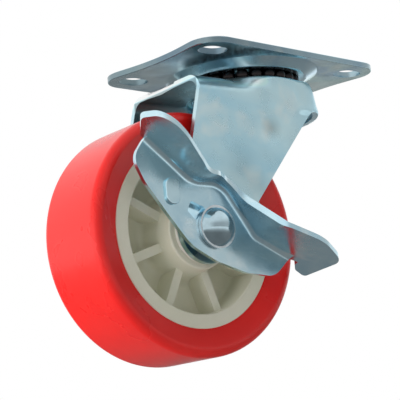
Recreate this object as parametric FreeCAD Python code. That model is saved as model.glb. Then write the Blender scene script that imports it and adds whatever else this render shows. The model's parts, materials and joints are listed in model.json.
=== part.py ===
import FreeCAD, Part
import os
from math import acos, cos, hypot, pi, radians, sin, sqrt, tan

Vector = FreeCAD.Vector

# Swivel castor with a side brake, in millimetres.
# The origin is on the swivel axis, level with the top face of the mounting plate. Z points up.
# The fork side is drawn straight: X points ahead of the trail, and the brake lever is towards -Y.
# It is then turned about the swivel axis by the small angle at which the fork stands.
fork_rest_angle = -5.15

# Mounting plate, pressed from sheet
plate_length = 92.8
plate_width = 63.5
plate_thickness = 2.3
plate_corner_radius = 9.5
plate_waist = 3.4
plate_waist_start = 21.0
plate_waist_radius = 90.0
plate_shoulder_radius = 12.0
plate_edge_rounding = 0.3
slot_spacing_x = 73.0
slot_spacing_y = 44.5
slot_width = 8.5
slot_length = 12.0

# Dish of the plate, with the upper raceway in its floor
dish_radius = 29.6
dish_lip_radius = 24.6
dish_depth = 2.8
dish_bend = 1.0
dish_top_bend = 2.5
dish_edge_margin = 0.35
dish_lip_bend = 2.0
dish_inner_lip_bend = 1.2
dish_wall_shift = 0.9

# Ball races
ball_diameter = 5.0
ball_clearance = 0.12
race_wall_angle = 50.0
race_lip_bend = 0.3
race_ridge_half_width = 3.3
race_ridge_blend = 1.5
race_ridge_crest = 3.5
upper_ridge_height = 1.7
lower_ridge_height = 0.9
upper_ring_radius = 19.6
upper_ball_count = 24
lower_ring_radius = 13.6
lower_ball_count = 16
race_gap = 2.9
lower_race_depth = 0.9
lower_race_thickness = 2.2
lower_race_rim = 1.2
lower_race_top_rounding = 0.5
lower_race_bottom_rounding = 1.2

# Kingpin, riveted through the plate and the lower race
kingpin_radius = 6.0
kingpin_shoulder_radius = 7.5
kingpin_clearance = 1.0
kingpin_head_radius = 9.5
kingpin_head_height = 2.6
kingpin_tail_radius = 8.6
kingpin_tail_height = 2.5
rivet_crown = 0.8

# Fork, pressed from one sheet. The crown's flared front skirt runs back into the legs.
fork_thickness = 2.1
fork_inner_width = 38.6
fork_bend_radius = 6.5
crown_rise = 1.3
crown_lift = 2.0
crown_step_run = 2.6
crown_step_bend = 1.2
crown_lower_lip = 0.4
crown_ridge_depth = 1.0
crown_ridge_inner = 2.2
crown_ridge_outer = 0.9
crown_ridge_slope = 0.5
crown_ridge_bends = (0.25, 0.6, 0.6, 0.2)
skirt_top_radius = 24.5
skirt_top_bend = 2.3
crown_rim_flat = 0.2
skirt_radius = 26.2
skirt_bottom = -20.4
crown_bulge = 2.4
crown_bulge_bottom = -18.0
crown_bulge_blend = 14.0
leg_back_top = (-38.5, -14.3)
leg_back_waist = (-43.3, -31.7)
leg_front_waist = (-15.1, -55.1)
leg_front_corner = 14.5
leg_boss_radius = 12.0
leg_blend_radius = 40.0
leg_corner_rounding = 2.0
web_groove_place = 2.0
web_groove_half_width = 8.5
web_groove_depth = 0.6
web_groove_bend = 12.0
leg_dimple_place = (35.1, 39.6)
leg_dimple_radius = 6.0
leg_dimple_depth = 0.8

# Axle and what is on it
trail = 41.3
axle_height = -67.8
axle_radius = 4.0
axle_hole_clearance = 0.1
axle_head_radius = 7.0
axle_head_height = 4.5
axle_tip = 1.6
axle_tip_chamfer = 0.8
head_washer_radius = 8.6
head_washer_thickness = 1.2
nut_washer_radius = 8.5
nut_washer_thickness = 1.6
nut_across_flats = 13.0
nut_height = 6.5
nut_chamfer = 0.8
nut_chamfer_slope = 1.6
nut_collar_radius = 5.9
nut_collar_height = 1.8
nut_insert_radius = 5.0
nut_insert_height = 1.4
sleeve_radius = 6.0
thrust_washer_radius = 11.0
thrust_washer_thickness = 1.0

# Wheel
wheel_radius = 44.5
tread_thickness = 10.4
tread_width = 33.2
tread_shoulder_radius = 3.1
tread_side_height = 3.4
tread_side_rounding = 1.5
rim_width = 28.4
rim_ring_thickness = 5.2
rim_ring_draft = 0.8
rim_key_height = 2.2
rim_key_width = 9.0
rim_key_slope = 1.5
rim_edge_gap = 0.4
rim_outer_rounding = 0.3
rim_inner_rounding = 0.5
rim_floor_rounding = 1.2
web_thickness = 4.0
hub_width = 32.8
hub_end_radius = 13.2
hub_base_radius = 15.6
hub_fillet = 3.0
hub_end_rounding = 0.8
spoke_count = 8
spoke_phase = 19.5
spoke_width = 3.2
spoke_face = 10.8
bush_wall = 2.0
bush_length = 14.0
bush_flange_radius = 10.8
bush_flange_thickness = 1.8
bush_rounding = 0.3
running_clearance = 0.06
side_play = 0.1

# Brake lever, pressed from one sheet; its outlines are (ahead, up) or (ahead, outward) from the axle
lever_thickness = 1.6
lever_stand_off = 3.0
lever_collar_radius = 6.8
lever_bend_radius = 2.2
lever_crease = [(-46.0, 44.9, 0), (-9.2, 16.4, 12), (4.2, 16.2, 10), (17.0, -2.4, 6), (58.0, -21.3, 0)]
lever_side_ends = (-27.4, 33.4)
lever_web_edge = [(25.0, -17.2, 8), (12.0, -16.0, 6), (-1.0, -12.0, 15), (-11.5, -6.6, 20),
                  (-20.5, 4.2, 20), (-29.0, 15.0, 14), (-33.0, 23.2, 6)]
lever_pedal_edge = [(-33.4, 32.8, 5), (-31.2, 44.6, 6.5), (-22.5, 43.6, 14), (-12.0, 38.6, 14),
                    (-3.6, 38.6, 6), (2.2, 30.6, 6), (8.6, 30.2, 6), (18.2, 44.2, 5), (30.6, 48.0, 10),
                    (43.0, 42.4, 8), (46.0, 18.2, 1.2), (41.0, 19.2, 3), (38.2, 22.4, 2), (37.2, 25.6, 0.6)]
lever_slot_emboss = (-18.0, 12.1)
lever_slot_emboss_size = (5.9, 9.6)
lever_slot_emboss_height = 1.1
lever_ramp = [(-12.8, 5.3, 0.8), (-8.6, 1.2, 0.8), (-2.4, 7.0, 0.8), (-10.4, 10.0, 0.8)]
lever_ramp_depth = 1.6
lever_ramp_wall = 0.7
emboss_rounding = 0.4
emboss_wall = 1.2

# What counts as touching, and how far a cutter reaches past what it cuts
tiny = 0.001
spare = 1.0

# Heights of the races, worked out from the sheets and the balls
plate_floor_top = -dish_depth
plate_floor_bottom = plate_floor_top - plate_thickness
crown_top = plate_floor_bottom - race_gap
crown_bottom = crown_top - fork_thickness
web_top = crown_top - crown_rise
upper_ball_height = (plate_floor_bottom + crown_top) / 2
race_groove_radius = ball_diameter / 2 + ball_clearance
crown_inner_top = crown_top + crown_lift
crown_inner_bottom = crown_inner_top - fork_thickness
lower_ball_height = crown_inner_bottom + lower_race_depth - race_groove_radius
lower_race_top = 2 * lower_ball_height - crown_inner_bottom
lower_race_bottom = lower_race_top - lower_race_thickness
crown_hole_radius = kingpin_shoulder_radius + kingpin_clearance
crown_radius = skirt_top_radius - skirt_top_bend - crown_rim_flat
axle_hole_radius = axle_radius + axle_hole_clearance

# Positions along the axle, counted outward from the middle of the wheel
leg_inner = fork_inner_width / 2
leg_outer = leg_inner + fork_thickness
lever_inner = leg_outer + lever_stand_off
lever_outer = lever_inner + lever_thickness
head_washer_start = lever_outer + side_play
head_start = head_washer_start + head_washer_thickness
nut_start = leg_outer + nut_washer_thickness
nut_end = nut_start + nut_height + nut_collar_height
hub_face = hub_width / 2
rim_radius = wheel_radius - tread_thickness
bush_face = hub_face + bush_flange_thickness
bush_bore_radius = sleeve_radius + running_clearance
bush_radius = bush_bore_radius + bush_wall


def unit(start, end):
    """The direction from one point to the next."""
    length = hypot(end[0] - start[0], end[1] - start[1])
    return (end[0] - start[0]) / length, (end[1] - start[1]) / length


def rounded_wire(corners, place, closed=True):
    """A wire through the corners (a, b, radius), each rounded to its radius."""
    count = len(corners)
    runs = []
    arcs = []
    for index, (a, b, radius) in enumerate(corners):
        inner = closed or 0 < index < count - 1
        if not (inner and radius):
            runs.append(((a, b), (a, b)))
            arcs.append(None)
            continue
        back = unit((a, b), corners[index - 1])
        ahead = unit((a, b), corners[(index + 1) % count])
        half = acos(back[0] * ahead[0] + back[1] * ahead[1]) / 2
        reach = radius / tan(half)
        middle = unit((0, 0), (back[0] + ahead[0], back[1] + ahead[1]))
        depth = radius / sin(half) - radius
        start = (a + back[0] * reach, b + back[1] * reach)
        end = (a + ahead[0] * reach, b + ahead[1] * reach)
        runs.append((start, end))
        arcs.append((a + middle[0] * depth, b + middle[1] * depth))
    edges = []
    for index in range(count):
        start, end = runs[index]
        if arcs[index]:
            edges.append(Part.Arc(place(*start), place(*arcs[index]), place(*end)).toShape())
        if closed or index < count - 1:
            target = runs[(index + 1) % count][0]
            if hypot(target[0] - end[0], target[1] - end[1]) > 1e-4:
                edges.append(Part.LineSegment(place(*end), place(*target)).toShape())
    return Part.Wire(edges)


def parallel(path, distance):
    """The same bent line, moved sideways to its left."""
    moved = []
    for index, (a, b, radius) in enumerate(path):
        before = unit(path[index - 1], path[index]) if index else unit(path[0], path[1])
        after = unit(path[index], path[index + 1]) if index < len(path) - 1 else before
        turn = before[0] * after[1] - before[1] * after[0]
        share = distance / (1 + before[0] * after[0] + before[1] * after[1])
        new_radius = (radius - distance if turn > 0 else radius + distance) if radius else 0
        moved.append((a - (before[1] + after[1]) * share, b + (before[0] + after[0]) * share, new_radius))
    return moved


def drawn_in(corners, distance):
    """A closed outline that runs anticlockwise, drawn inward by a distance."""
    looped = parallel([corners[-1]] + corners + [corners[0]], distance)[1:-1]
    return [(a, b, radius) for (a, b, _), (_, _, radius) in zip(looped, corners)]


def side(a, b):
    """A point of the side view: ahead and up."""
    return Vector(a, 0, b)


def plan(a, b):
    """A point of the view from above: ahead and across."""
    return Vector(a, b, 0)


def front(a, b):
    """A point of the view from ahead: across and up."""
    return Vector(0, a, b)


def prism(corners, place, start, end):
    """A closed outline, pulled between two levels along the normal of its view."""
    normal = {plan: Vector(0, 0, 1), side: Vector(0, 1, 0), front: Vector(1, 0, 0)}[place]
    shape = Part.Face(rounded_wire(corners, place)).extrude(normal * (end - start))
    shape.translate(normal * start)
    return shape


def turned(corners):
    """A closed (radius, height) outline, turned about the swivel axis."""
    face = Part.Face(rounded_wire(corners, side))
    return face.revolve(Vector(0, 0, 0), Vector(0, 0, 1), 360)


def wheel_turned(corners):
    """A closed (radius, outward) outline, turned about the axle. Outward is towards the lever."""
    face = Part.Face(rounded_wire(corners, lambda a, b: Vector(a, -b, 0)))
    return face.revolve(Vector(0, 0, 0), Vector(0, 1, 0), 360)


def disc(radius, start, end, inner_radius=0):
    """A washer or disc on the axle, between two outward positions."""
    shape = Part.makeCylinder(radius, end - start, Vector(0, -start, 0), Vector(0, -1, 0))
    if inner_radius:
        bore = Part.makeCylinder(inner_radius, end - start, Vector(0, -start, 0), Vector(0, -1, 0))
        shape = shape.cut(bore)
    return shape


def edges_at(shape, axis, level):
    """The edges that lie flat at one level of an axis."""
    return edges_on(shape, lambda p: abs(getattr(p, axis) - level) < tiny)


def edges_on(shape, test):
    """The edges whose ends and middle all pass a test."""
    found = []
    for edge in shape.Edges:
        first, last = edge.ParameterRange
        points = [edge.valueAt(first + (last - first) * share) for share in (0.0, 0.5, 1.0)]
        if all(test(point) for point in points):
            found.append(edge)
    return found


def race_groove(ring_radius, ball_height, lip_height):
    """Corners of a ball groove, from its outer lip to its inner lip."""
    away = 1 if lip_height > ball_height else -1
    corner_rise = race_groove_radius / cos(radians(race_wall_angle))
    half_width = (corner_rise - abs(lip_height - ball_height)) / tan(radians(race_wall_angle))
    return [(ring_radius + half_width, lip_height, race_lip_bend),
            (ring_radius, ball_height + away * corner_rise, race_groove_radius),
            (ring_radius - half_width, lip_height, race_lip_bend)]


def race_ridge(ring_radius, floor, rise):
    """Corners of the round ridge that a pressed groove leaves on the sheet's other side."""
    return [(ring_radius - race_ridge_half_width, floor, race_ridge_blend),
            (ring_radius, floor + rise, race_ridge_crest),
            (ring_radius + race_ridge_half_width, floor, race_ridge_blend)]


def swivelled(shape):
    """Turn a fork-side piece to the angle at which the fork stands."""
    shape.rotate(Vector(0, 0, 0), Vector(0, 0, 1), fork_rest_angle)
    return shape


def at_axle(shape):
    """Carry a piece drawn about the axle to its place in the fork."""
    shape.translate(Vector(-trail, 0, axle_height))
    return swivelled(shape)


def plate_outline():
    """The plate's outline, with waisted ends."""
    x = plate_length / 2
    y = plate_width / 2
    end = [(x, -y, plate_corner_radius), (x, -plate_waist_start, plate_shoulder_radius),
           (x - plate_waist, 0, plate_waist_radius),
           (x, plate_waist_start, plate_shoulder_radius), (x, y, plate_corner_radius)]
    return end + [(-a, -b, radius) for a, b, radius in end]


def stadium(centre, width, height, place, start, end):
    """A slot shape with round ends, between two levels."""
    rounding = min(width, height) / 2 - tiny
    corners = [(centre[0] + a * width / 2, centre[1] + b * height / 2, rounding)
               for a, b in ((-1, -1), (1, -1), (1, 1), (-1, 1))]
    return prism(corners, place, start, end)


def top_plate():
    sheet = prism(plate_outline(), plan, -plate_thickness, 0)
    rims = edges_at(sheet, "z", 0) + edges_at(sheet, "z", -plate_thickness)
    sheet = sheet.makeFillet(plate_edge_rounding, rims)
    for x in (-slot_spacing_x / 2, slot_spacing_x / 2):
        for y in (-slot_spacing_y / 2, slot_spacing_y / 2):
            sheet = sheet.cut(stadium((x, y), slot_length, slot_width, plan, -plate_thickness, 0))
    join = plate_width / 2 - dish_edge_margin
    sheet = sheet.cut(Part.makeCylinder(join, 3 * plate_thickness, Vector(0, 0, -2 * plate_thickness)))
    bottom = [(join, -plate_thickness, 0), (dish_radius, -plate_thickness, dish_bend),
              (dish_lip_radius, plate_floor_bottom, dish_lip_bend)]
    bottom += race_groove(upper_ring_radius, upper_ball_height, plate_floor_bottom)
    bottom += [(kingpin_radius, plate_floor_bottom, 0)]
    top = [(kingpin_radius, plate_floor_top, 0)]
    top += race_ridge(upper_ring_radius, plate_floor_top, upper_ridge_height)
    top += [(dish_lip_radius + dish_wall_shift, plate_floor_top, dish_inner_lip_bend),
            (dish_radius + dish_wall_shift, 0, dish_top_bend), (join, 0, 0)]
    return sheet.fuse(turned(bottom + top)).removeSplitter()


def king_pin():
    head = plate_floor_top + kingpin_head_height
    tail = lower_race_bottom - kingpin_tail_height
    return turned([(0, head, 0), (kingpin_head_radius - rivet_crown, head, rivet_crown),
                   (kingpin_head_radius, head - rivet_crown, rivet_crown),
                   (kingpin_head_radius, plate_floor_top, 0), (kingpin_radius, plate_floor_top, 0),
                   (kingpin_radius, plate_floor_bottom, 0), (kingpin_shoulder_radius, plate_floor_bottom, 0),
                   (kingpin_shoulder_radius, lower_race_top, 0), (kingpin_radius, lower_race_top, 0),
                   (kingpin_radius, lower_race_bottom, 0), (kingpin_tail_radius, lower_race_bottom, 0),
                   (kingpin_tail_radius, tail + rivet_crown, rivet_crown),
                   (kingpin_tail_radius - 2 * rivet_crown, tail, rivet_crown), (0, tail, 0)])


def lower_race():
    groove = race_groove(lower_ring_radius, lower_ball_height, lower_race_top)
    rim = groove[0][0] + lower_race_rim
    top = [(rim, lower_race_top, lower_race_top_rounding)] + groove + [(kingpin_radius, lower_race_top, 0)]
    ridge = race_ridge(lower_ring_radius, lower_race_bottom, -lower_ridge_height)
    bottom = [(kingpin_radius, lower_race_bottom, 0)] + ridge[:-1]
    return turned(top + bottom + [(rim, lower_race_bottom, lower_race_bottom_rounding)])


def ball_ring(count, ring_radius, height):
    """A ring of separate balls."""
    balls = []
    for index in range(count):
        angle = 2 * pi * index / count
        centre = Vector(ring_radius * cos(angle), ring_radius * sin(angle), height)
        balls.append(Part.makeSphere(ball_diameter / 2, centre))
    return Part.makeCompound(balls)


def tangent_point(point, away, radius):
    """Where a line from the point touches the boss about the axle, ahead (1) or behind (-1)."""
    dx = point[0] + trail
    dz = point[1] - axle_height
    distance = hypot(dx, dz)
    angle = acos(radius / distance)
    ux, uz = dx / distance, dz / distance
    turn_x = ux * cos(angle) + away * uz * sin(angle)
    turn_z = uz * cos(angle) - away * ux * sin(angle)
    return -trail + radius * turn_x, axle_height + radius * turn_z


def leg_outline():
    """The fork seen from the side, as a closed wire round both legs, the web and the skirt."""
    front_touch = tangent_point(leg_front_waist, 1, leg_boss_radius)
    back_touch = tangent_point(leg_back_waist, -1, leg_boss_radius)
    boss_bottom = (-trail, axle_height - leg_boss_radius)
    corners = [front_touch + (0,), leg_front_waist + (leg_blend_radius,),
               (leg_front_corner, skirt_bottom, leg_corner_rounding), (skirt_radius + spare, skirt_bottom, 0),
               (skirt_radius + spare, spare, 0), (leg_back_top[0], spare, 0),
               leg_back_top + (leg_corner_rounding,), leg_back_waist + (leg_blend_radius,), back_touch + (0,)]
    line = rounded_wire(corners, side, closed=False)
    boss = Part.Arc(side(*back_touch), side(*boss_bottom), side(*front_touch)).toShape()
    return Part.Wire(line.Edges + [boss])


def crown():
    """The crown with both fork raceways, turned about the swivel axis."""
    upper = race_groove(upper_ring_radius, upper_ball_height, crown_top)
    lower = race_groove(lower_ring_radius, lower_ball_height, crown_inner_bottom)
    top = [(crown_radius, crown_top, 0)] + upper
    top += [(upper[2][0] - crown_step_run, crown_inner_top, crown_step_bend),
            (crown_hole_radius, crown_inner_top, 0)]
    bends = crown_ridge_bends
    ridge_inner = upper_ring_radius - crown_ridge_inner
    ridge_outer = upper_ring_radius + crown_ridge_outer
    ridge_bottom = crown_bottom - crown_ridge_depth
    bottom = [(crown_hole_radius, crown_inner_bottom, 0)] + lower[::-1]
    bottom += [(lower[0][0] + crown_lower_lip, crown_inner_bottom, bends[0]),
               (ridge_inner, ridge_bottom, bends[1]), (ridge_outer, ridge_bottom, bends[2]),
               (ridge_outer + crown_ridge_slope, crown_bottom, bends[3])]
    return turned(top + bottom + [(crown_radius, crown_bottom, 0)])


def leg_dimple(body):
    """A shallow round dent, pressed in from the lever side."""
    ball_radius = (leg_dimple_radius ** 2 + leg_dimple_depth ** 2) / (2 * leg_dimple_depth)
    x = leg_dimple_place[0] - trail
    z = leg_dimple_place[1] + axle_height
    inside = Part.makeSphere(ball_radius, Vector(x, -leg_inner - ball_radius + leg_dimple_depth, z))
    start = Vector(x, -leg_outer + spare, z)
    shell = Part.makeCylinder(leg_dimple_radius, fork_thickness, start, Vector(0, 1, 0))
    outside = Part.makeSphere(ball_radius, Vector(x, -leg_outer - ball_radius + leg_dimple_depth, z))
    return body.fuse(inside.common(shell)).cut(outside)


def fork_block(inset):
    """The space inside the fork's outer face, drawn in by an inset."""
    bottom = axle_height - leg_boss_radius - spare
    back = 2 * leg_back_waist[0]
    groove = web_groove_place
    across = [(leg_outer, bottom, 0), (leg_outer, web_top, fork_bend_radius),
              (groove + web_groove_half_width, web_top, web_groove_bend),
              (groove, web_top - web_groove_depth, web_groove_bend),
              (groove - web_groove_half_width, web_top, web_groove_bend),
              (-leg_outer, web_top, fork_bend_radius), (-leg_outer, bottom, 0)]
    legs = prism(parallel(across, inset), front, back, 0)
    top = crown_top - inset
    skirt = turned([(0, top, 0), (skirt_top_radius - inset, top, skirt_top_bend - inset),
                    (skirt_radius - inset, skirt_bottom, 0), (skirt_radius - inset, bottom, 0), (0, bottom, 0)])
    half = leg_outer - inset
    wide = half + crown_bulge
    blend = crown_bulge_blend + inset
    slab = prism([(-half, bottom, 0), (half, bottom, 0), (half, crown_bulge_bottom, blend), (wide, crown_top, 0),
                  (-wide, crown_top, 0), (-half, crown_bulge_bottom, blend)], front, back, skirt_radius)
    return legs.fuse(skirt.common(slab))


def fork():
    body = fork_block(0).cut(fork_block(fork_thickness))
    across = 2 * (leg_outer + crown_bulge + spare)
    outline = Part.Face(leg_outline()).extrude(Vector(0, across, 0))
    outline.translate(Vector(0, -across / 2, 0))
    body = body.common(outline)
    depth = crown_top - crown_bottom + spare
    body = body.cut(Part.makeCylinder(crown_radius, depth, Vector(0, 0, crown_bottom)))
    body = body.fuse(crown())
    hole_start = Vector(-trail, -across / 2, axle_height)
    hole = Part.makeCylinder(axle_hole_radius, across, hole_start, Vector(0, 1, 0))
    return swivelled(leg_dimple(body.cut(hole)).removeSplitter())


def tread():
    half = tread_width / 2
    rim_half = rim_width / 2 - rim_edge_gap
    side_start = wheel_radius - tread_side_height
    key = rim_key_width / 2
    section = [(rim_radius, -rim_half, 0), (side_start, -half, tread_side_rounding),
               (wheel_radius, -half, tread_shoulder_radius), (wheel_radius, half, tread_shoulder_radius),
               (side_start, half, tread_side_rounding), (rim_radius, rim_half, 0),
               (rim_radius, key + rim_key_slope, 0), (rim_radius + rim_key_height, key, 0),
               (rim_radius + rim_key_height, -key, 0), (rim_radius, -key - rim_key_slope, 0)]
    return at_axle(wheel_turned(section))


def rim_barrel():
    """The wheel centre without its spokes: ring, web and hub in one section."""
    ring = rim_width / 2
    web = web_thickness / 2
    inner = rim_radius - rim_ring_thickness
    key = rim_key_width / 2
    half = [(rim_radius, key + rim_key_slope, 0), (rim_radius, ring, rim_outer_rounding),
            (inner, ring, rim_inner_rounding), (inner - rim_ring_draft, web, rim_floor_rounding),
            (hub_base_radius, web, hub_fillet), (hub_end_radius, hub_face, hub_end_rounding),
            (bush_radius, hub_face, 0)]
    mirrored = [(a, -b, radius) for a, b, radius in half[::-1]]
    key_top = [(rim_radius + rim_key_height, -key, 0), (rim_radius + rim_key_height, key, 0)]
    return wheel_turned(half + mirrored + key_top)


def spokes(face, start):
    """One side's radial ribs, from the hub to the ring."""
    inner = (hub_end_radius + bush_radius) / 2
    outer = rim_radius - rim_ring_thickness / 2
    ribs = []
    for index in range(spoke_count):
        rib = Part.makeBox(outer - inner, face - start, spoke_width, Vector(inner, -face, -spoke_width / 2))
        rib.rotate(Vector(0, 0, 0), Vector(0, -1, 0), spoke_phase + index * 360 / spoke_count)
        ribs.append(rib)
    return ribs


def wheel_rim():
    body = rim_barrel()
    ribs = spokes(spoke_face, 0) + spokes(0, -spoke_face)
    body = body.fuse(ribs).removeSplitter()
    return at_axle(body)


def hub_bush(direction):
    """A flanged plain bush, pressed into one end of the hub."""
    length = hub_face - bush_length
    corners = [(bush_bore_radius, direction * length, 0), (bush_radius, direction * length, 0),
               (bush_radius, direction * hub_face, 0), (bush_flange_radius, direction * hub_face, 0),
               (bush_flange_radius, direction * bush_face, bush_rounding),
               (bush_bore_radius, direction * bush_face, bush_rounding)]
    return at_axle(wheel_turned(corners))


def axle_bolt():
    """A domed bolt through the lever, both legs and the sleeve."""
    head = head_start + axle_head_height
    dome = (axle_head_radius ** 2 + axle_head_height ** 2) / (2 * axle_head_height)
    ball = Part.makeSphere(dome, Vector(0, -(head - dome), 0))
    cap = ball.common(disc(axle_head_radius, head_start, head + spare))
    end = nut_end + axle_tip
    shank = disc(axle_radius, -end, head_start)
    shank = shank.makeChamfer(axle_tip_chamfer, edges_at(shank, "y", end))
    return at_axle(cap.fuse(shank).removeSplitter())


def axle_nut():
    """A hexagon nut with a round collar that holds a locking ring."""
    corner = nut_across_flats / 2 / cos(pi / 6)
    hexagon = [(corner * cos(index * pi / 3), corner * sin(index * pi / 3), 0) for index in range(6)]
    body = prism(hexagon, side, nut_start, nut_start + nut_height)
    wide = corner + nut_height * nut_chamfer_slope
    start = Vector(0, nut_start, 0)
    body = body.common(Part.makeCone(wide, corner - nut_chamfer, nut_height, start, Vector(0, 1, 0)))
    body = body.fuse(disc(nut_collar_radius, -nut_end, -nut_start))
    body = body.cut(disc(nut_insert_radius, -nut_end, -nut_end + nut_insert_height))
    return at_axle(body.cut(disc(axle_hole_radius, -nut_end, -nut_start)).removeSplitter())


def on_bend(path, outward):
    """A test for points on a bent line of the side view, at one outward position."""
    line = rounded_wire(path, side, closed=False)

    def near(p):
        return abs(p.y + outward) < tiny and line.distToShape(Part.Vertex(p.x, 0, p.z))[0] < 10 * tiny

    return near


def pedal_strip(start, end):
    """The pedals' bent strip before trimming, between two outward positions."""
    over = parallel(lever_crease, lever_thickness)
    return prism(lever_crease + over[::-1], side, -end, -start)


def bend_cutter(path, outward, radius):
    """What is cut from a square corner along a bent line to round it to the bend's outer radius."""
    ahead, up = unit(path[0], path[1])
    start = Vector(path[0][0], -outward, path[0][1])
    across = Vector(0, -1, 0)
    down = Vector(up, 0, -ahead)
    slant = radius * (1 - sqrt(0.5))

    def point(a, b):
        return start + across * a + down * b

    edges = [Part.LineSegment(point(radius, 0), point(radius, -spare)).toShape(),
             Part.LineSegment(point(radius, -spare), point(-spare, -spare)).toShape(),
             Part.LineSegment(point(-spare, -spare), point(-spare, radius)).toShape(),
             Part.LineSegment(point(-spare, radius), point(0, radius)).toShape(),
             Part.Arc(point(0, radius), point(slant, slant), point(radius, 0)).toShape()]
    spine = rounded_wire(path, lambda a, b: Vector(a, -outward, b), closed=False)
    return spine.makePipeShell([Part.Wire(edges)], True, False)


def folded_lever():
    """The lever's sheet folded along the crease, before it is trimmed."""
    over = parallel(lever_crease, lever_thickness)
    depth = 2 * axle_height
    web = prism(over + [(over[-1][0], depth, 0), (over[0][0], depth, 0)], side, -lever_outer, -lever_inner)
    reach = max(outward for ahead, outward, radius in lever_pedal_edge) + spare
    body = web.fuse(pedal_strip(lever_inner, reach)).removeSplitter()
    body = body.makeFillet(lever_bend_radius, edges_on(body, on_bend(lever_crease, lever_outer)))
    return body.cut(bend_cutter(over, lever_inner, lever_bend_radius + lever_thickness))


def crease_height(ahead, run):
    """How high one straight run of the crease lies at a place ahead of the axle."""
    (a, b, _), (c, d, _) = lever_crease[run], lever_crease[run + 1]
    return b + (d - b) * (ahead - a) / (c - a)


def lever_trim():
    """The space that the lever's outline leaves: the pedals above the crease, the side below it."""
    top = -axle_height
    back, front = lever_side_ends
    first, last = lever_crease[0], lever_crease[-1]
    above = prism(lever_crease + [(last[0], top, 0), (first[0], top, 0)], side, -2 * lever_outer, 0)
    outline = [(ahead, -outward, radius) for ahead, outward, radius in lever_pedal_edge]
    outline += [(front, -lever_inner + spare, 0), (back, -lever_inner + spare, 0)]
    pedals = above.common(prism(outline, plan, axle_height, top))
    web = [(front, crease_height(front, len(lever_crease) - 2), 0)] + lever_web_edge
    web += [(back, crease_height(back, 0), 0)] + lever_crease[1:-1]
    return pedals.fuse(prism(web, side, -2 * lever_outer, 0))


def toe_plate():
    """The flat inner part of the front pedal, beyond the end of the lever's side."""
    inner = min(outward for ahead, outward, radius in lever_pedal_edge) - spare
    flat = pedal_strip(inner, lever_outer + lever_bend_radius + spare)
    corner = Vector(lever_side_ends[1], -2 * lever_outer, axle_height)
    return flat.common(Part.makeBox(trail, 2 * lever_outer, -2 * axle_height, corner))


def brake_lever():
    middle = (lever_inner + lever_outer) / 2
    body = folded_lever().fuse(toe_plate()).common(lever_trim())
    crest = lever_outer + lever_slot_emboss_height
    width, height = lever_slot_emboss_size
    raised = stadium(lever_slot_emboss, width, height, side, -crest, -middle)
    raised = raised.makeFillet(emboss_rounding, edges_at(raised, "y", -crest))
    wall = 2 * emboss_wall
    hollow = stadium(lever_slot_emboss, width - wall, height - wall, side, -crest + emboss_wall, -lever_inner)
    ramp_back = prism(lever_ramp, side, -middle, -lever_inner + lever_ramp_depth)
    pocket = prism(drawn_in(lever_ramp, lever_ramp_wall), side, -lever_outer, -lever_outer + lever_ramp_depth)
    collar = disc(lever_collar_radius, leg_outer + side_play, middle)
    body = body.fuse([raised, ramp_back, collar])
    body = body.cut([hollow, pocket, disc(axle_radius + running_clearance, leg_outer, lever_outer)])
    return at_axle(body.removeSplitter())


def parts():
    """Every piece by its name."""
    pieces = {
        "top_plate": top_plate(),
        "king_pin": king_pin(),
        "lower_race": lower_race(),
        "upper_balls": ball_ring(upper_ball_count, upper_ring_radius, upper_ball_height),
        "lower_balls": ball_ring(lower_ball_count, lower_ring_radius, lower_ball_height),
        "fork": fork(),
        "axle_bolt": axle_bolt(),
        "head_washer": at_axle(disc(head_washer_radius, head_washer_start, head_start, axle_hole_radius)),
        "brake_lever": brake_lever(),
        "axle_sleeve": at_axle(disc(sleeve_radius, -leg_inner, leg_inner, axle_hole_radius)),
        "nut_washer": at_axle(disc(nut_washer_radius, -nut_start, -leg_outer, axle_hole_radius)),
        "axle_nut": axle_nut(),
        "nut_insert": at_axle(disc(nut_insert_radius, -nut_end, -nut_end + nut_insert_height, axle_radius)),
        "wheel_rim": wheel_rim(),
        "tread": tread(),
    }
    for name, direction in (("near", 1), ("far", -1)):
        ends = sorted((direction * (leg_inner - thrust_washer_thickness), direction * leg_inner))
        pieces["thrust_washer_" + name] = at_axle(disc(thrust_washer_radius, *ends, bush_bore_radius))
        pieces["hub_bush_" + name] = hub_bush(direction)
    return pieces


os.makedirs("parts", exist_ok=True)
for name, shape in parts().items():
    shape.exportStep("parts/" + name + ".step")
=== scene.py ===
import json
from math import cos, hypot, radians, sin

import bmesh
import bpy
from mathutils import Matrix, Vector


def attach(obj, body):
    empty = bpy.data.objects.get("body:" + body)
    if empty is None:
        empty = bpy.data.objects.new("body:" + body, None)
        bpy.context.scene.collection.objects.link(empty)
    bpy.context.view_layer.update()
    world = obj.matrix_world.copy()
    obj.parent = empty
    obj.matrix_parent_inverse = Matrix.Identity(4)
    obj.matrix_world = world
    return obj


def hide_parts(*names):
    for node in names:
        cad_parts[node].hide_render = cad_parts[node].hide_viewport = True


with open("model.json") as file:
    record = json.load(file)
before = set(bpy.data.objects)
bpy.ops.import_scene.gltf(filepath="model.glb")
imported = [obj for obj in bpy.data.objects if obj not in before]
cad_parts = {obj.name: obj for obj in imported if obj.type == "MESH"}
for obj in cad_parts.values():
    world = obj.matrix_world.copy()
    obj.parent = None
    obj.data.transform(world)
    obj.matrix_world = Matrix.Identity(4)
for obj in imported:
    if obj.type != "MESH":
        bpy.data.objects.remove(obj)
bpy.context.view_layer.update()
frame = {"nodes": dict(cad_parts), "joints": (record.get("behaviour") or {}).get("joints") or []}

# Lengths are in metres, angles in degrees and lamps in watts. "Ahead", "side" and "height" are x, y and z in the
# fork's own frame, which is the castor's frame turned about the swivel axis with the fork. Other places are in the
# castor's frame at rest.

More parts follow.
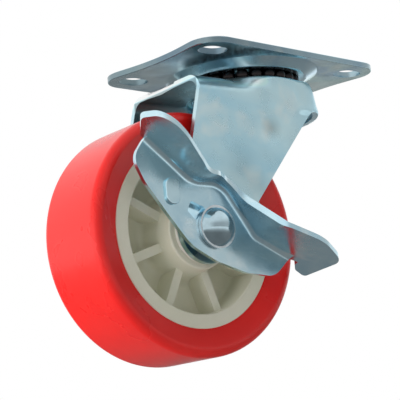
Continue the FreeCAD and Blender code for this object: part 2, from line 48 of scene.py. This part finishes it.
# Camera: its angles, and its shift across, its shift up and its distance from the castor's origin
camera_azimuth = -43.79
camera_elevation = -10.77
camera_roll = 5.49
camera_across = -0.01598
camera_up = -0.04976
camera_distance = 0.56649
camera_focal_px = 1454.43
image_width_px = 400
sensor_mm = 36.0

# The castor hangs from its plate, well clear of the floor. Where the floor is seen, light of its own lifts it
floor_height = -0.175
floor_size = 6.0
floor_grey = 0.72
floor_seen_lift = 0.42

# The room's soft light on the castor
world_fill = 0.42

# A painted reflection of the floor, a glowing sheet seen only in reflections: its level in the dark spot and far
# from it, and where the spot fades
mirrored_floor_height = -0.165
mirrored_floor_levels = (0.20, 0.95)
dark_spot = (0.10, 0.30, 0.0)
dark_spot_edges = (0.50, 0.95)

# The side of the room that reflections show dimmer, and where it fades sideways and upward
dim_side = (0.30, -0.95, 0.0)
dim_side_edges = (0.05, 0.75)
dim_top_edges = (0.22, 0.60)
dim_level = 0.54

# Lamps: place, target, size and power
castor_middle = (-0.02, 0.0, -0.05)
lamps = {
    "key": ((-1.10, 0.20, 0.10), castor_middle, (0.80, 0.55), 2.8),
    "top": ((0.10, -0.30, 0.90), castor_middle, (0.60, 0.60), 2.5),
    "bounce": ((-0.30, 0.10, -0.17), (-0.06, 0.0, -0.09), (0.40, 0.40), 1.6),
}

# Where the noise behind a material's tint or gloss fades from one value to the other
haze_edges = (0.38, 0.62)
cloud_edges = (0.52, 0.72)
mottle_edges = (0.35, 0.65)
gloss_edges = (0.3, 0.7)

# Plating: how much finer its clouds are than its haze, their share of the light tint, and the lightest tint allowed
cloud_fineness = 2.7
cloud_share = 0.75
lightest_tint = (0.97, 0.97, 0.97)

# Turned steel: the scale of its rings, and the share of its colour in the dark patches
ring_scale = 2600.0
dark_share = 0.8

# Painted light and shade on the plate: its gain from one end to the other, and painted shade on the sheared edges,
# which don't face up or down
plate_ends = (-0.045, 0.030)
plate_end_painted_light = (0.74, 1.30)
edge_facing = (0.3, 0.6)
edge_painted_shade = 0.55

# Painted light and shade on the fork: a painted highlight on the bend at its top, painted shade inside its web, and
# patches of painted shade in the leg's dimple and on the leg beside the lever (place, reach, depth)
bend_height = (-0.0135, -0.0105)
bend_x = (-0.013, -0.006)
bend_painted_highlight = 1.55
inside_width = (0.0192, 0.0197)
inside_x = (-0.012, -0.009)
inside_height = (-0.0112, -0.0106)
inside_painted_shade = 0.42
fork_painted_shade_patches = (
    ((-0.0080, -0.0209, -0.0282), 0.0055, 0.34),
    ((-0.0245, -0.0195, -0.0450), 0.0110, 0.20),
    ((-0.0160, -0.0200, -0.0520), 0.0080, 0.20),
)

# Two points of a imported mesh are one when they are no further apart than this
weld_distance = 0.000002

# The grid that is cut into the fork's sheet, so that it can bend
grid_step = 0.001
grid_ahead = (-0.024, 0.026)
grid_height = (-0.040, -0.009)

# Where points give way: on the crown, by their distance from the swivel axis, ahead and height, and in the leg's
# dimple, by their distance from its place (ahead, height)
crown_reach = (0.0222, 0.0236)
crown_ahead = (-0.022, -0.017)
crown_height = (-0.024, -0.020)
dimple_place = (-0.0062, -0.0282)
dimple_reach = (0.006, 0.010)
soft_rounds = 90
soft_pull = 0.6

# Creased edges hold their place, except on the shoulders, where the crown bends down into the legs
crease_angle = 50.0
shoulder_height = -0.0135
shoulder_side = 0.015

# What stands out past the legs' outer faces is drawn in, and the front skirt is made fuller
leg_face = 0.0214
bulge_cut = 0.6
skirt_growth = 0.0021
skirt_height = (-0.0225, -0.0195)
skirt_ahead = (0.0, 0.012)
skirt_side = (0.0185, 0.0235)

# The fork's shading: edges sharper than this stay sharp, and large faces lead the normals round them
smooth_angle = 28.0
large_face_weight = 100

# The outer radius of the washer under the axle's head
washer_reach = 0.0077

# The corner of the lever's rear pedal that is drawn in
lever_corner = (-0.0492, -0.0341, -0.0506)
lever_corner_reach = (0.0015, 0.0100)
lever_corner_shift = 0.0024

# The floor of the lever's ramp: its limits, the side of the lever's outer face, the floor's depth behind it, and how
# far the floor's low and its high end move inward
ramp_ahead = (-0.05320, -0.04440)
ramp_height = (-0.06650, -0.05880)
lever_face = -0.0260
ramp_depth = 0.0016
ramp_slope = (-0.0013, 0.0006)


# Nodes

class Nodes:
    """A node tree, and short ways to add nodes to it. An input is a constant or another node's output."""

    def __init__(self, tree):
        self.tree = tree

    def node(self, kind, inputs=None, **settings):
        made = self.tree.nodes.new(kind)
        for key, value in settings.items():
            setattr(made, key, value)
        for socket, value in (inputs or {}).items():
            self.feed(made.inputs[socket], value)
        return made

    def feed(self, socket, value):
        if isinstance(value, bpy.types.NodeSocket):
            self.tree.links.new(value, socket)
        else:
            socket.default_value = value

    def span(self, value, low, high, to_low=0.0, to_high=1.0, **settings):
        """A value taken from the range low to high, and held at its ends, to the range to_low to to_high."""
        inputs = {"Value": value, "From Min": low, "From Max": high, "To Min": to_low, "To Max": to_high}
        return self.node("ShaderNodeMapRange", inputs, **settings).outputs["Result"]

    def math(self, operation, first, second=0.0):
        return self.node("ShaderNodeMath", {0: first, 1: second}, operation=operation).outputs[0]

    def vector(self, operation, first, second):
        return self.node("ShaderNodeVectorMath", {0: first, 1: second}, operation=operation).outputs["Vector"]

    def dot(self, first, second):
        return self.node("ShaderNodeVectorMath", {0: first, 1: second}, operation="DOT_PRODUCT").outputs["Value"]

    def length(self, vector):
        return self.node("ShaderNodeVectorMath", {0: vector}, operation="LENGTH").outputs["Value"]

    def parts(self, vector):
        """The X, Y and Z of a vector."""
        return self.node("ShaderNodeSeparateXYZ", {0: vector}).outputs

    def shown(self):
        """1 for rays that show the surroundings, straight to the camera or by gloss or glass, and 0 for the rest."""
        path = self.node("ShaderNodeLightPath").outputs
        shown = self.math("MAXIMUM", path["Is Camera Ray"], path["Is Glossy Ray"])
        return self.math("MAXIMUM", shown, path["Is Transmission Ray"])


class Shader(Nodes):
    """A material with one Principled shader."""

    def __init__(self, name, **constants):
        self.material = bpy.data.materials.new(name)
        self.material.use_nodes = True
        super().__init__(self.material.node_tree)
        self.surface = self.tree.nodes["Principled BSDF"]
        for socket, value in constants.items():
            self.surface.inputs[socket.replace("_", " ")].default_value = value
        self.place = self.node("ShaderNodeTexCoord").outputs["Object"]

    def set(self, socket, value):
        self.feed(self.surface.inputs[socket], value)

    def away(self, place):
        """How far the shaded point is from a place."""
        return self.length(self.vector("SUBTRACT", self.place, place))

    def noise(self, scale, detail=3.0, roughness=0.5, distortion=0.0, place=None):
        inputs = {"Vector": place or self.place, "Scale": scale, "Detail": detail,
                  "Roughness": roughness, "Distortion": distortion}
        return self.node("ShaderNodeTexNoise", inputs).outputs["Fac"]

    def mix(self, share, first, second):
        made = self.node("ShaderNodeMix", {"Factor": share}, data_type="RGBA")
        colours = [socket for socket in made.inputs if socket.type == "RGBA"]
        for socket, value in zip(colours, (first, second)):
            self.feed(socket, value)
        return [socket for socket in made.outputs if socket.type == "RGBA"][0]

    def uneven_gloss(self, noise, dull, glossy):
        self.set("Roughness", self.span(noise, *gloss_edges, glossy, dull))

    def bump(self, height, distance, strength, under=None):
        """Bump of a height over a distance, on top of the normal under it."""
        inputs = {"Height": height, "Distance": distance, "Strength": strength}
        if under:
            inputs["Normal"] = under
        return self.node("ShaderNodeBump", inputs).outputs["Normal"]


def rgb(red, green, blue):
    return (red, green, blue, 1.0)


white = rgb(1.0, 1.0, 1.0)
black = rgb(0.0, 0.0, 0.0)


# Materials

def zinc(name, deep, middle, light, roughness, haze_scale, swell_strength, shade=None):
    """Bright zinc plating over pressed sheet: cloudy tints, uneven gloss and a soft swell, with painted light and
    shade by place where one is given.
    """
    shader = Shader(name, Metallic=1.0)
    haze = shader.noise(haze_scale, detail=4.0, roughness=0.55, distortion=0.6)
    cloud = shader.noise(haze_scale * cloud_fineness, distortion=0.3)
    tint = shader.mix(shader.span(haze, *haze_edges), rgb(*deep), rgb(*middle))
    tint = shader.mix(shader.span(cloud, *cloud_edges, 0.0, cloud_share), tint, rgb(*light))
    # Painted light and shade: the tint is scaled up or down by place, then held below the lightest tint
    if shade:
        tint = shader.node("ShaderNodeVectorMath", {0: tint, "Scale": shade(shader)}, operation="SCALE").outputs[0]
        tint = shader.vector("MINIMUM", tint, lightest_tint)
    shader.set("Base Color", tint)
    shader.uneven_gloss(shader.noise(scale=140.0), dull=roughness + 0.07, glossy=roughness - 0.06)
    swell = shader.noise(scale=60.0, detail=1.0, roughness=0.4)
    shader.set("Normal", shader.bump(swell, distance=0.0012, strength=swell_strength))
    return shader.material


def plate_painted_light(shader):
    """Painted light and shade on the plate: darker towards one end and lighter towards the other, and painted shade
    on the sheared edges.
    """
    along = shader.span(shader.parts(shader.place)["X"], *plate_ends, *plate_end_painted_light)
    normal = shader.node("ShaderNodeNewGeometry").outputs["Normal"]
    facing = shader.math("ABSOLUTE", shader.parts(normal)["Z"])
    return shader.math("MULTIPLY", along, shader.span(facing, *edge_facing, edge_painted_shade, 1.0))


def fork_painted_light(shader):
    """Painted light and shade on the fork: a painted highlight on the bend at its top, painted shade inside its web,
    and painted shade in the leg's dimple and beside the lever.
    """
    parts = shader.parts(shader.place)
    bend = shader.math("MULTIPLY", shader.span(parts["Z"], *bend_height), shader.span(parts["X"], *bend_x, 1.0, 0.0))
    shade = shader.span(bend, 0.0, 1.0, 1.0, bend_painted_highlight)
    width = shader.math("ABSOLUTE", shader.dot(shader.place, axle_axis))
    inside = shader.math("MULTIPLY", shader.span(width, *inside_width, 1.0, 0.0),
                         shader.span(parts["X"], *inside_x, 1.0, 0.0))
    inside = shader.math("MULTIPLY", inside, shader.span(parts["Z"], *inside_height, 1.0, 0.0))
    shade = shader.math("MULTIPLY", shade, shader.span(inside, 0.0, 1.0, 1.0, inside_painted_shade))
    for place, reach, depth in fork_painted_shade_patches:
        shade = shader.math("MULTIPLY", shade, shader.span(shader.away(place), 0.0, reach, 1.0 - depth, 1.0))
    return shade


def turned_steel(name, colour, roughness, centre, axis):
    """Steel turned or stamped, with faint rings about its own axis."""
    shader = Shader(name, Metallic=1.0)
    offset = shader.vector("SUBTRACT", shader.place, centre)
    radius = shader.length(shader.vector("CROSS_PRODUCT", offset, axis))
    ring_place = shader.node("ShaderNodeCombineXYZ", {"X": shader.math("MULTIPLY", radius, ring_scale)}).outputs[0]
    rings = shader.noise(scale=1.0, detail=2.0, roughness=0.6, place=ring_place)
    patch = shader.noise(scale=180.0)
    dark = rgb(*[dark_share * part for part in colour])
    shader.set("Base Color", shader.mix(shader.span(patch, *mottle_edges), dark, rgb(*colour)))
    shader.uneven_gloss(patch, dull=roughness + 0.06, glossy=roughness - 0.05)
    ringed = shader.bump(rings, distance=0.00005, strength=0.35)
    shader.set("Normal", shader.bump(patch, distance=0.0002, strength=0.15, under=ringed))
    return shader.material


def moulded(name, low, high, roughness, subsurface):
    """Moulded plastic, satin, with a soft mottle and a fine skin."""
    shader = Shader(name)
    cloud = shader.noise(scale=45.0, detail=4.0, roughness=0.55)
    speck = shader.noise(scale=900.0, detail=2.0)
    shader.set("Base Color", shader.mix(shader.span(cloud, *mottle_edges), rgb(*low), rgb(*high)))
    shader.uneven_gloss(cloud, dull=roughness + 0.05, glossy=roughness - 0.05)
    shader.set("Subsurface Weight", subsurface)
    shader.set("Subsurface Radius", (0.004, 0.003, 0.002))
    clouded = shader.bump(cloud, distance=0.0004, strength=0.15)
    shader.set("Normal", shader.bump(speck, distance=0.00005, strength=0.3, under=clouded))
    return shader.material


def red_tread():
    """Cast red polyurethane: deep colour under a thin clear gloss, with a soft mottle and a fine skin."""
    shader = Shader("red_polyurethane", Coat_Weight=0.12, Coat_Roughness=0.12, IOR=1.42)
    cloud = shader.noise(scale=30.0, detail=4.0, roughness=0.55, distortion=0.4)
    speck = shader.noise(scale=700.0, roughness=0.55)
    tint = shader.mix(shader.span(cloud, *mottle_edges), rgb(0.78, 0.011, 0.009), rgb(0.86, 0.016, 0.012))
    shader.set("Base Color", tint)
    shader.uneven_gloss(cloud, dull=0.34, glossy=0.24)
    shader.set("Subsurface Weight", 0.12)
    shader.set("Subsurface Radius", (0.006, 0.001, 0.001))
    clouded = shader.bump(cloud, distance=0.0006, strength=0.2)
    shader.set("Normal", shader.bump(speck, distance=0.00004, strength=0.3, under=clouded))
    return shader.material


# Stage, light and camera

def quad(name, height, material):
    """A level square of the floor's size."""
    half = floor_size / 2
    mesh = bpy.data.meshes.new(name)
    mesh.from_pydata([(-half, -half, 0), (half, -half, 0), (half, half, 0), (-half, half, 0)], [], [(0, 1, 2, 3)])
    mesh.materials.append(material)
    made = bpy.data.objects.new(name, mesh)
    bpy.context.collection.objects.link(made)
    made.location = (0, 0, height)
    return made


def pale_floor():
    """A pale matt floor. To the camera it is lifted towards white, and it keeps its shadow."""
    shader = Shader("pale_floor", Roughness=0.7)
    shader.set("Base Color", rgb(floor_grey, floor_grey, floor_grey))
    shader.set("Emission Color", white)
    shader.set("Emission Strength", shader.math("MULTIPLY", shader.shown(), floor_seen_lift))
    quad("floor", floor_height, shader.material)


def floor_painted_reflection():
    """A painted reflection of the floor, glowing and seen only in reflections: dark under the castor and beyond its
    far side, and white further off.
    """
    shader = Shader("floor_painted_reflection", Roughness=1.0)
    shader.set("Base Color", black)
    shader.set("Emission Color", white)
    shader.set("Emission Strength", shader.span(shader.away(dark_spot), *dark_spot_edges, *mirrored_floor_levels))
    made = quad("floor_painted_reflection", mirrored_floor_height, shader.material)
    made.visible_camera = False
    made.visible_diffuse = False
    made.visible_shadow = False
    made.visible_transmission = False


def mirrored_room(nodes):
    """How bright the room is in reflections: white, but dimmer low down in front of the lever side."""
    toward = nodes.node("ShaderNodeTexCoord").outputs["Generated"]
    facing = nodes.dot(toward, Vector(dim_side).normalized())
    facing = nodes.span(facing, *dim_side_edges, interpolation_type="SMOOTHSTEP")
    height = nodes.span(nodes.parts(toward)["Z"], *dim_top_edges, interpolation_type="SMOOTHSTEP")
    dimmed = nodes.math("MULTIPLY", facing, nodes.math("SUBTRACT", 1.0, height))
    return nodes.math("SUBTRACT", 1.0, nodes.math("MULTIPLY", dimmed, 1.0 - dim_level))


def world_light():
    """White to the camera, a white room with one dim side to reflections, and a soft fill on the object."""
    world = bpy.data.worlds.new("studio")
    bpy.context.scene.world = world
    world.use_nodes = True
    nodes = Nodes(world.node_tree)
    fill = world.node_tree.nodes["Background"]
    nodes.feed(fill.inputs["Color"], white)
    nodes.feed(fill.inputs["Strength"], world_fill)
    to_camera = nodes.node("ShaderNodeLightPath").outputs["Is Camera Ray"]
    level = nodes.math("MAXIMUM", to_camera, mirrored_room(nodes))
    room = nodes.node("ShaderNodeBackground", {"Color": white, "Strength": level})
    blend = nodes.node("ShaderNodeMixShader", {"Fac": nodes.shown(), 1: fill.outputs[0], 2: room.outputs[0]})
    nodes.feed(world.node_tree.nodes["World Output"].inputs["Surface"], blend.outputs[0])


def lamp(name, place, target, size, watts):
    """A soft rectangular lamp, seen neither by the camera nor in gloss."""
    data = bpy.data.lights.new(name, "AREA")
    data.shape = "RECTANGLE"
    data.size, data.size_y = size
    data.energy = watts
    made = bpy.data.objects.new(name, data)
    bpy.context.collection.objects.link(made)
    made.location = place
    made.rotation_euler = (Vector(target) - Vector(place)).to_track_quat("-Z", "Y").to_euler()
    made.visible_camera = False
    made.visible_glossy = False


def camera_axes():
    """The camera's right, up and back directions in the castor's frame."""
    azimuth, elevation, roll = radians(camera_azimuth), radians(camera_elevation), radians(camera_roll)
    back = Vector((sin(azimuth) * cos(elevation), -cos(azimuth) * cos(elevation), sin(elevation)))
    level = Vector((cos(azimuth), sin(azimuth), 0.0))
    upright = back.cross(level)
    right = cos(roll) * level - sin(roll) * upright
    up = sin(roll) * level + cos(roll) * upright
    return right, up, back


def photo_camera():
    """The camera at the photograph's viewing angle and distance."""
    right, up, back = camera_axes()
    data = bpy.data.cameras.new("photo_camera")
    data.sensor_width = sensor_mm
    data.lens = camera_focal_px / image_width_px * sensor_mm
    made = bpy.data.objects.new("photo_camera", data)
    bpy.context.collection.objects.link(made)
    place = right * camera_across + up * camera_up + back * camera_distance
    turn = Matrix((right, up, back)).transposed().to_4x4()
    made.matrix_world = Matrix.Translation(place) @ turn
    bpy.context.scene.camera = made


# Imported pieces, and meshes that take the place of one

def joint(name):
    return next(item for item in frame["joints"] if item["name"] == name)


def dress(node, material):
    """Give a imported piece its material."""
    piece = frame["nodes"][node]
    if not piece.material_slots:
        piece.data.materials.append(material)
    for place in piece.material_slots:
        place.material = material


def stand_in(name, data, node, body):
    """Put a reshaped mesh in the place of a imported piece."""
    made = bpy.data.objects.new(name, data)
    bpy.context.collection.objects.link(made)
    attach(made, body)
    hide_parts(node)
    return made


def copied_mesh(node, material):
    data = frame["nodes"][node].data.copy()
    data.materials.clear()
    data.materials.append(material)
    return data


def eased(value, low, high):
    """0 below low, 1 above high, and an eased run between them."""
    share = min(max((value - low) / (high - low), 0.0), 1.0)
    return share * share * (3.0 - 2.0 * share)


def small_washer(material):
    """The washer under the axle's head, which shows as a narrow ring round it."""
    data = copied_mesh("head_washer", material)
    for vert in data.vertices:
        offset = vert.co - Vector(axle_place)
        along = offset.project(Vector(axle_axis))
        outward = offset - along
        if outward.length > washer_reach:
            vert.co = Vector(axle_place) + along + outward.normalized() * washer_reach
    stand_in("head_washer_ring", data, "head_washer", "yoke")


def ramp_floor(data):
    """The points of the floor of the lever's ramp, each straight behind a point of the lever's outer face."""
    places = [(vert, swivel.inverted() @ vert.co) for vert in data.vertices]
    places = [(vert, place) for vert, place in places
              if ramp_ahead[0] < place.x < ramp_ahead[1] and ramp_height[0] < place.z < ramp_height[1]]
    rim = [place for vert, place in places if abs(place.y - lever_face) < weld_distance]
    return [(vert, place) for vert, place in places
            if abs(place.y - lever_face - ramp_depth) < weld_distance
            and any(abs((place - top).length - ramp_depth) < weld_distance for top in rim)]


def smooth_lever(material):
    """The brake lever: its rear pedal's edge runs in a long curve, and the floor of its ramp slopes."""
    data = copied_mesh("brake_lever", material)
    for vert in data.vertices:
        share = 1.0 - eased((vert.co - Vector(lever_corner)).length, *lever_corner_reach)
        vert.co += share * lever_corner_shift * Vector(axle_axis)
    for vert, place in ramp_floor(data):
        rise = (place.z - ramp_height[0]) / (ramp_height[1] - ramp_height[0])
        vert.co += (ramp_slope[0] + (ramp_slope[1] - ramp_slope[0]) * rise) * Vector(axle_axis)
    stand_in("brake_lever_sheet", data, "brake_lever", "lever")


# The fork's sheet

def cut_grid(mesh, axis, limits):
    """Add edges where planes across an axis meet the mesh, so that its flat faces can bend."""
    for index in range(round((limits[1] - limits[0]) / grid_step) + 1):
        geometry = mesh.verts[:] + mesh.edges[:] + mesh.faces[:]
        place = axis * (limits[0] + index * grid_step)
        bmesh.ops.bisect_plane(mesh, geom=geometry, plane_co=place, plane_no=axis)


def fork_mesh():
    """The fork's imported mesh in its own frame, welded and cut fine enough to bend."""
    mesh = bmesh.new()
    mesh.from_mesh(frame["nodes"]["fork"].data)
    bmesh.ops.remove_doubles(mesh, verts=mesh.verts, dist=weld_distance)
    mesh.transform(swivel.inverted())
    cut_grid(mesh, Vector((1, 0, 0)), grid_ahead)
    cut_grid(mesh, Vector((0, 0, 1)), grid_height)
    mesh.normal_update()
    return mesh


def draw_in_bulge(mesh):
    """Draw in what stands out past the outer faces of the legs."""
    for vert in mesh.verts:
        over = max(abs(vert.co.y) - leg_face, 0.0)
        vert.co.y *= 1.0 - bulge_cut * over / max(abs(vert.co.y), leg_face)


def softness(place):
    """How far a point of the fork gives way to the points round it."""
    crown = eased(hypot(place.x, place.y), *crown_reach) * eased(place.x, *crown_ahead)
    crown *= eased(place.z, *crown_height)
    from_dimple = hypot(place.x - dimple_place[0], place.z - dimple_place[1])
    return max(crown, 1.0 - eased(from_dimple, *dimple_reach))


def on_shoulder(place):
    return place.x < 0.0 and place.z > shoulder_height and abs(place.y) > shoulder_side


def soften(mesh):
    """Let the points of the crown and the dimple settle between their neighbours, round by round."""
    creased = {vert for edge in mesh.edges if edge.calc_face_angle(0.0) > radians(crease_angle)
               for vert in edge.verts if not on_shoulder(vert.co)}
    weights = [(vert, softness(vert.co)) for vert in mesh.verts if vert not in creased]
    weights = [(vert, weight) for vert, weight in weights if weight > 0.0]
    for _ in range(soft_rounds):
        moved = []
        for vert, weight in weights:
            near = [edge.other_vert(vert).co for edge in vert.link_edges]
            middle = sum(near, Vector()) / len(near)
            moved.append(vert.co.lerp(middle, soft_pull * weight))
        for (vert, _weight), place in zip(weights, moved):
            vert.co = place


def fill_skirt(mesh):
    """Make the front skirt fuller, away from the swivel axis."""
    for vert in mesh.verts:
        reach = hypot(vert.co.x, vert.co.y)
        share = eased(reach, *crown_reach) * eased(vert.co.z, *skirt_height)
        share *= eased(vert.co.x, *skirt_ahead) * (1.0 - eased(abs(vert.co.y), *skirt_side))
        scale = 1.0 + share * skirt_growth / max(reach, crown_reach[0])
        vert.co.x *= scale
        vert.co.y *= scale


def soft_fork(material):
    """The fork's sheet with its crown drawn softly into the legs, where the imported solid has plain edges."""
    mesh = fork_mesh()
    draw_in_bulge(mesh)
    soften(mesh)
    fill_skirt(mesh)
    mesh.transform(swivel)
    data = bpy.data.meshes.new("fork_sheet")
    mesh.to_mesh(data)
    mesh.free()
    data.shade_smooth()
    data.set_sharp_from_angle(angle=radians(smooth_angle))
    data.materials.append(material)
    made = stand_in("fork_sheet", data, "fork", "yoke")
    even = made.modifiers.new("even_normals", "WEIGHTED_NORMAL")
    even.weight = large_face_weight
    even.keep_sharp = True


# The castor: z is its swivel's axis, and the axle's axis runs across the fork

axle_place = tuple(joint("wheel_spin")["pos_m"])
axle_axis = tuple(joint("wheel_spin")["axis"])
swivel_angle = -Vector((0.0, 1.0)).angle_signed(Vector(axle_axis[:2]))
swivel = Matrix.Rotation(swivel_angle, 4, "Z")
pin_place, pin_axis = (0.0, 0.0, 0.0), (0.0, 0.0, 1.0)

plate_zinc = zinc("zinc_plate", (0.42, 0.62, 0.76), (0.58, 0.80, 0.87), (0.70, 0.86, 0.89),
                  roughness=0.20, haze_scale=34.0, swell_strength=0.2, shade=plate_painted_light)
fork_zinc = zinc("zinc_fork", (0.46, 0.74, 0.86), (0.62, 0.84, 0.89), (0.80, 0.89, 0.87),
                 roughness=0.30, haze_scale=26.0, swell_strength=0.2, shade=fork_painted_light)
lever_zinc = zinc("zinc_lever", (0.50, 0.74, 0.86), (0.62, 0.84, 0.92), (0.80, 0.94, 0.97),
                  roughness=0.22, haze_scale=42.0, swell_strength=0.5)
axle_steel = turned_steel("zinc_turned", (0.78, 0.86, 0.90), 0.26, axle_place, axle_axis)
dome_steel = turned_steel("bright_bolt", (0.50, 0.66, 0.73), 0.12, axle_place, axle_axis)
pin_steel = turned_steel("zinc_pin", (0.60, 0.64, 0.67), 0.28, pin_place, pin_axis)
# The balls' near-black colour is painted shade, for the dark gap between the plate and the fork's crown where they
# sit
ball_steel = turned_steel("ball_steel", (0.035, 0.03, 0.03), 0.30, pin_place, pin_axis)
natural_nylon = moulded("natural_nylon", (0.70, 0.69, 0.64), (0.76, 0.75, 0.70), 0.45, subsurface=0.1)
cream_plastic = moulded("cream_plastic", (0.76, 0.76, 0.61), (0.83, 0.82, 0.68), 0.38, subsurface=0.05)
polyurethane = red_tread()

finishes = {
    plate_zinc: ("top_plate", "lower_race"),
    fork_zinc: ("fork",),
    lever_zinc: ("brake_lever",),
    axle_steel: ("head_washer", "nut_washer", "axle_nut", "axle_sleeve", "thrust_washer_near", "thrust_washer_far"),
    dome_steel: ("axle_bolt",),
    pin_steel: ("king_pin",),
    ball_steel: ("upper_balls", "lower_balls"),
    natural_nylon: ("hub_bush_near", "hub_bush_far", "nut_insert"),
    cream_plastic: ("wheel_rim",),
    polyurethane: ("tread",),
}
for finish, nodes in finishes.items():
    for node in nodes:
        dress(node, finish)
soft_fork(fork_zinc)
smooth_lever(lever_zinc)
small_washer(axle_steel)

pale_floor()
floor_painted_reflection()
for name, values in lamps.items():
    lamp(name, *values)
world_light()
photo_camera()
bpy.context.scene.view_settings.view_transform = "Standard"
